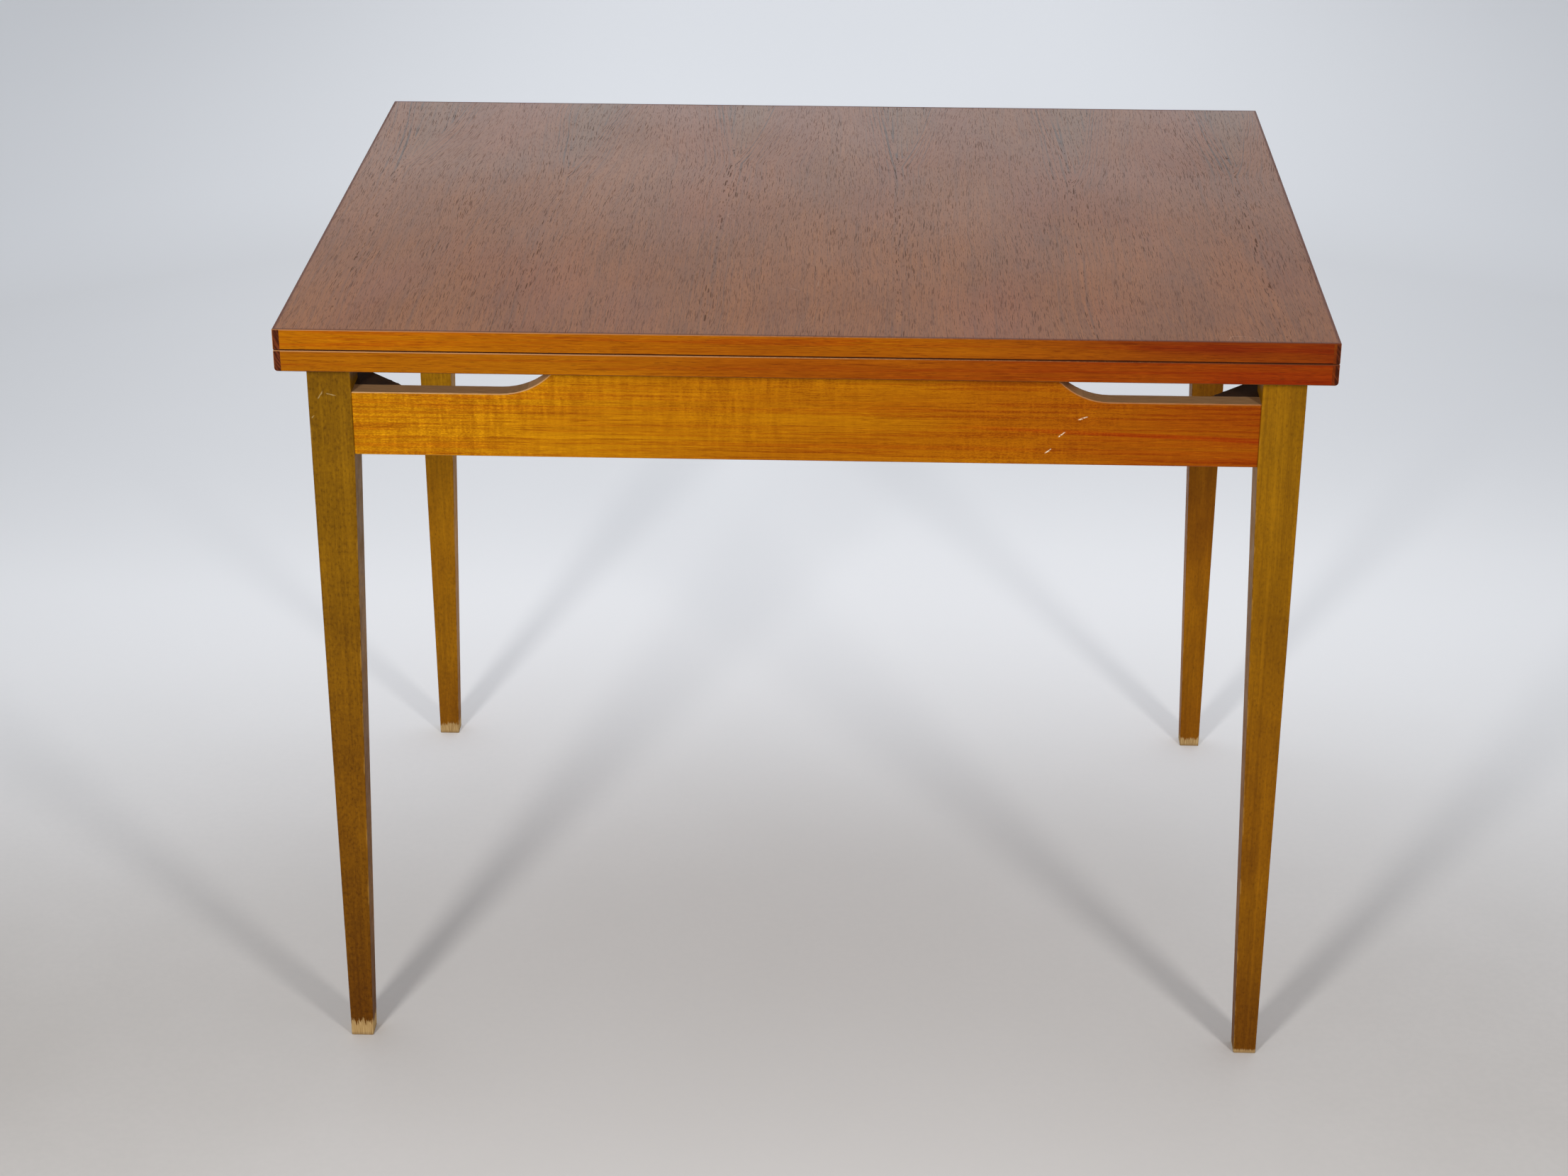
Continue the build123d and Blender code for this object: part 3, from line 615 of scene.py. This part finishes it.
def metal(name, colour, tarnish, roughness, grain_size=0.0008):
    """Handled metal: a brushed surface with dull, darker patches."""
    s = Shader(name)
    place = s.place()
    patch = s.noise(place, scale=90.0, detail=5.0, roughness=0.65)
    spots = s.noise(place, scale=420.0, detail=3.0)
    brushed = s.noise(s.mix(1.0, place, (1 / grain_size, 25.0, 1 / grain_size), "MULTIPLY"), detail=2.0)
    shade = s.mix(s.step(patch, 0.4, 0.68), colour, tarnish)
    shade = s.mix(s.step(spots, 0.6, 0.75, 0.0, 0.5), shade, tarnish)
    rough = s.add(s.step(patch, 0.35, 0.7, roughness, roughness + 0.22), s.mul(brushed, 0.06))
    s.surface(shade, rough, specular=0.5, metallic=1.0)
    s.bump(s.add(brushed, spots), 0.00004, 0.4)
    return s.material


def felt(name, colour, pale):
    """Pressed wool: tangled hairs and a matt nap."""
    s = Shader(name)
    place = s.place()
    hairs = s.noise(place, scale=900.0, detail=4.0, roughness=0.7, distortion=2.0)
    patch = s.noise(place, scale=60.0, detail=3.0)
    shade = s.mix(s.step(hairs, 0.35, 0.7), colour, pale)
    shade = s.mix(s.step(patch, 0.4, 0.7, 0.0, 0.35), shade, colour)
    s.surface(shade, s.step(hairs, 0.3, 0.7, 0.85, 1.0), specular=0.1)
    s.bump(hairs, 0.0004, 0.8)
    return s.material


# ---------------------------------------------------------------- which piece gets which

AMBER = (0.395, 0.152, 0.0012)
APRON_RED = (0.245, 0.048, 0.0008)
UPPER_AMBER = (0.355, 0.110, 0.0008)
UPPER_RED = (0.155, 0.0200, 0.0018)
LOWER_AMBER = (0.295, 0.090, 0.0012)
LOWER_RED = (0.195, 0.0225, 0.0012)
SIDE_RED = (0.165, 0.026, 0.0015)
SAWN = (0.34, 0.20, 0.095)
BEECH = ((0.60, 0.40, 0.22), (0.40, 0.24, 0.11))
BOARD = ((0.62, 0.47, 0.30), (0.45, 0.31, 0.17))
# Painted shade: the corner blocks are coloured almost black for the shade under the top.
SHADE_DARKENED_BEECH = ((0.085, 0.045, 0.022), (0.035, 0.018, 0.010))
# Painted shade: the upper leaf's underside sheet has its narrow edge painted almost black for the gap between
# the leaves.
GAP_SHADE_EDGE = (0.020, 0.004, 0.002)
UNDER_EDGE = (0.12, 0.035, 0.008)


def veneers():
    """The four sheets. The two inner ones have hardly any grey and a thin varnish."""
    return {
        "upper_top_veneer": veneer("top_veneer", 0.0, outline=0.9),
        "upper_bottom_veneer": veneer("inner_veneer_upper", 5.0, grey_back=0.2, rim=GAP_SHADE_EDGE, varnish=0.4),
        "lower_top_veneer": veneer("inner_veneer_lower", 9.0, grey_back=0.2, varnish=0.4),
        "lower_bottom_veneer": veneer("under_veneer", 13.0, (0.80, 0.78, 0.72), 0.0, rim=UNDER_EDGE),
    }


def leaf_woods():
    """The lippings and the core of each leaf."""
    made = {}
    leaves = (
        ("lower", 20.0, LOWER_AMBER, LOWER_RED, LOWER_RIM),
        ("upper", 30.0, UPPER_AMBER, UPPER_RED, UPPER_RIM),
    )
    for side, seed, amber, red, rim in leaves:
        name = f"{side}_lipping"
        made[f"{name}_front"] = solid_teak(f"{name}_front_wood", "X", seed + 1, amber, red, rim=rim)
        made[f"{name}_back"] = solid_teak(f"{name}_back_wood", "X", seed + 2, red, amber)
        made[f"{name}_left"] = solid_teak(f"{name}_left_wood", "Y", seed + 3, amber, SIDE_RED)
        made[f"{name}_right"] = solid_teak(f"{name}_right_wood", "Y", seed + 4, amber, SIDE_RED)
        made[f"{side}_core"] = plain_wood(f"{side}_board", "Y", seed, *BOARD)
    return made


def apron_woods():
    """The four aprons. The front one has the marks and the red line that the photo shows."""
    seen = {"marks": APRON_MARKS, "streak": APRON_STREAK}
    return {
        "apron_front": solid_teak("apron_front_wood", "X", 1.0, AMBER, APRON_RED, 0.55, 0.1, SAWN, **seen),
        "apron_back": solid_teak("apron_back_wood", "X", 2.0, APRON_RED, AMBER, 0.4, 0.1, SAWN),
        "apron_left": solid_teak("apron_left_wood", "Y", 3.0, AMBER, AMBER, 0.3, 0.1, SAWN),
        "apron_right": solid_teak("apron_right_wood", "Y", 4.0, APRON_RED, APRON_RED, 0.3, 0.1, SAWN),
    }


def frame_woods():
    """The legs, the blocks behind them, and the two rails."""
    made = {
        "pivot_rail": plain_wood("pivot_rail_wood", "Y", 1.0, *BEECH),
        "support_rail": plain_wood("support_rail_wood", "Y", 2.0, *BEECH),
    }
    for k, (corner, bare, mottled, low, high, marks) in enumerate(LEGS):
        made[f"leg_{corner}"] = leg_wood(f"leg_{corner}_wood", 3.0 + k, bare, mottled, low, high, marks)
        made[f"corner_block_{corner}"] = plain_wood(f"block_{corner}_wood", "Z", 5.0 + k, *SHADE_DARKENED_BEECH)
    return made


def fittings():
    """The felt, the washer and the metal parts."""
    made = {
        "felt_glides": felt("glide_felt", (0.020, 0.035, 0.016), (0.07, 0.10, 0.055)),
        "slip_washer": felt("washer_fibre", (0.13, 0.03, 0.018), (0.24, 0.07, 0.04)),
    }
    brass = metal("aged_brass", (0.72, 0.48, 0.18), (0.24, 0.14, 0.06), 0.28)
    zinc = metal("zinc_steel_finish", (0.56, 0.56, 0.57), (0.26, 0.25, 0.24), 0.34)
    dark = metal("screw_steel_finish", (0.20, 0.19, 0.18), (0.06, 0.045, 0.035), 0.42)
    hinges = ("lower_hinge_barrels", "upper_hinge_barrels", "hinge_rings_lower", "hinge_rings_upper")
    for node in (*hinges, "pivot_bush"):
        made[node] = brass
    for node in ("stop_pin", "pivot_plate", "pivot_bolt", "pivot_washer", "pivot_nut"):
        made[node] = zinc
    for node in ("corner_block_screws", "pivot_plate_screws"):
        made[node] = dark
    return made


# Each leg: how much of its foot is bare, how mottled it is, its tints low down and high up, and its marks.
# The tints are partly each leg's own tone and partly painted light: the back legs are painted brighter, and
# the back-right leg painted darker high up as painted shade from the table.
LEGS = (
    ("front_left", 1.0, 1.0, (0.90, 0.90, 0.8), (0.90, 0.90, 0.8), LEG_MARKS),
    ("front_right", 0.22, 0.55, (1.10, 1.09, 0.7), (1.11, 1.06, 0.7), ()),
    ("back_left", 0.75, 0.6, (1.65, 1.80, 1.0), (1.58, 1.67, 1.0), ()),
    ("back_right", 0.6, 0.4, (1.74, 1.77, 0.8), (0.99, 0.83, 0.8), ()),
)


def finish_nodes():
    """Gives every CAD node its material."""
    made = veneers() | leaf_woods() | apron_woods() | frame_woods() | fittings()
    for name, material in made.items():
        mesh = nodes[name].data
        mesh.materials.clear()
        mesh.materials.append(material)


# ---------------------------------------------------------------- stage


def floor_material():
    """Pale studio paper, faintly mottled, with painted light: lighter and glowing towards the back and far
    away, a painted pool of light in front of the table, and painted shade far in front.
    """
    s = Shader("studio_floor")
    place = s.place()
    x, y, _ = s.split(place)
    patch = s.noise(place, scale=1.6, detail=5.0, roughness=0.6)
    grit = s.noise(place, scale=130.0, detail=3.0)
    colour = s.mix(s.step(patch, 0.3, 0.7), (0.49, 0.47, 0.45), (0.55, 0.53, 0.515))
    colour = s.mix(s.step(grit, 0.35, 0.65, 0.0, 0.15), colour, (0.44, 0.43, 0.42))
    distance = s.math("SQRT", s.add(s.mul(x, x), s.mul(y, y)))
    # Painted light: the floor is painted lighter towards the back and far away.
    far = s.mul(s.step(distance, 0.8, 2.6), s.step(y, -0.9, 0.3))
    back = s.step(y, -0.45, 0.75, 0.0, 0.85)
    light = s.math("MAXIMUM", far, back)
    colour = s.mix(light, colour, (0.86, 0.88, 0.91))

    # A painted pool of light in front of the table's middle.
    forward = s.add(y, 0.55)
    painted_pool = s.math("SQRT", s.add(s.mul(x, x), s.mul(forward, forward)))
    colour = s.mix(s.step(painted_pool, 0.9, 0.1, 0.0, 0.75), colour, (0.68, 0.665, 0.655))
    # Painted shade far in front, where the lamps light the floor most.
    colour = s.mix(s.step(y, -1.3, -2.6, 0.0, 0.8), colour, (0.40, 0.40, 0.40))
    s.surface(colour, 0.75, specular=0.15)
    # Painted light: the lighter places also glow, though they are no lamp.
    painted_glow = s.mul(light, s.step(s.math("ABSOLUTE", x), 0.3, 1.9, 0.27, 0.03))
    s.put(s.bsdf.inputs["Emission Color"], (0.80, 0.83, 0.88))
    s.put(s.bsdf.inputs["Emission Strength"], painted_glow)
    return s.material


FLOOR_SIZE = 40.0
FLOOR_DROP = 0.0003


def make_floor():
    """A large plane, a hair below the feet."""
    bpy.ops.mesh.primitive_plane_add(size=FLOOR_SIZE, location=(0, 0, -FLOOR_DROP))
    floor = bpy.context.object
    floor.name = "studio_floor"
    floor.data.materials.append(floor_material())


# The room's brightness over the height of the direction: bright low down, darker above, bright overhead.
ROOM_STOPS = ((0.0, 1.0), (0.12, 1.0), (0.44, 0.30), (0.72, 0.30), (0.90, 0.85))
ROOM_BEHIND_CAMERA = 0.60
ROOM_BEHIND_TABLE = 1.45


def make_world():
    """A pale room: brightest low down behind the table, with a light ceiling."""
    world = bpy.data.worlds.new("studio")
    bpy.context.scene.world = world
    world.use_nodes = True
    s = Nodes(world.node_tree)
    _, y, z = s.split(s.node("ShaderNodeTexCoord").outputs["Generated"])
    facing = s.step(y, -0.6, 0.7, ROOM_BEHIND_CAMERA, ROOM_BEHIND_TABLE)
    strength = s.mul(facing, s.ramp(z, ROOM_STOPS))
    background = s.node("ShaderNodeBackground", {"Color": (0.94, 0.96, 1.0), "Strength": strength})
    s.node("ShaderNodeOutputWorld", {"Surface": background.outputs[0]})


LAMP_TARGET = Vector((0, 0, 0.55))
LAMP_SIZE = 0.44
LAMP_COLOUR = (1.0, 0.98, 0.95)


def soft_light(name, place, power):
    """A round lamp that points at the table."""
    data = bpy.data.lights.new(name, "AREA")
    data.shape = "DISK"
    data.size = LAMP_SIZE
    data.energy = power
    data.color = LAMP_COLOUR
    lamp = bpy.data.objects.new(name, data)
    lamp.location = place
    lamp.rotation_euler = (LAMP_TARGET - Vector(place)).to_track_quat("-Z", "Y").to_euler()
    bpy.context.scene.collection.objects.link(lamp)


def make_lights():
    """Two lamps at the front, one each side of the camera, a little above the top."""
    soft_light("front_left", (-1.20, -2.85, 1.70), 54.5)
    soft_light("front_right", (1.55, -2.50, 1.70), 35.5)


# The camera's place, its lens in mm, and its angles in radians: how far it looks down, turns left and leans.
CAMERA_PLACE = (0.0694, -2.7996, 1.6365)
CAMERA_LENS = 70.38
CAMERA_DOWN = 0.4362
CAMERA_TURN = 0.035
CAMERA_LEAN = 0.0013
LEVEL = 1.5708


def make_camera():
    """The viewing angle: from the front, a little to the right, looking 25 degrees down."""
    data = bpy.data.cameras.new("camera")
    data.sensor_width = 36.0
    data.lens = CAMERA_LENS
    camera = bpy.data.objects.new("camera", data)
    camera.location = CAMERA_PLACE
    tilt = Euler((LEVEL - CAMERA_DOWN, 0, CAMERA_TURN)).to_matrix()
    roll = Euler((0, 0, CAMERA_LEAN)).to_matrix()
    camera.rotation_euler = (tilt @ roll).to_euler()
    bpy.context.scene.collection.objects.link(camera)
    bpy.context.scene.camera = camera


make_camera()
make_world()
make_lights()
make_floor()
finish_nodes()
bpy.context.scene.view_settings.view_transform = "Standard"
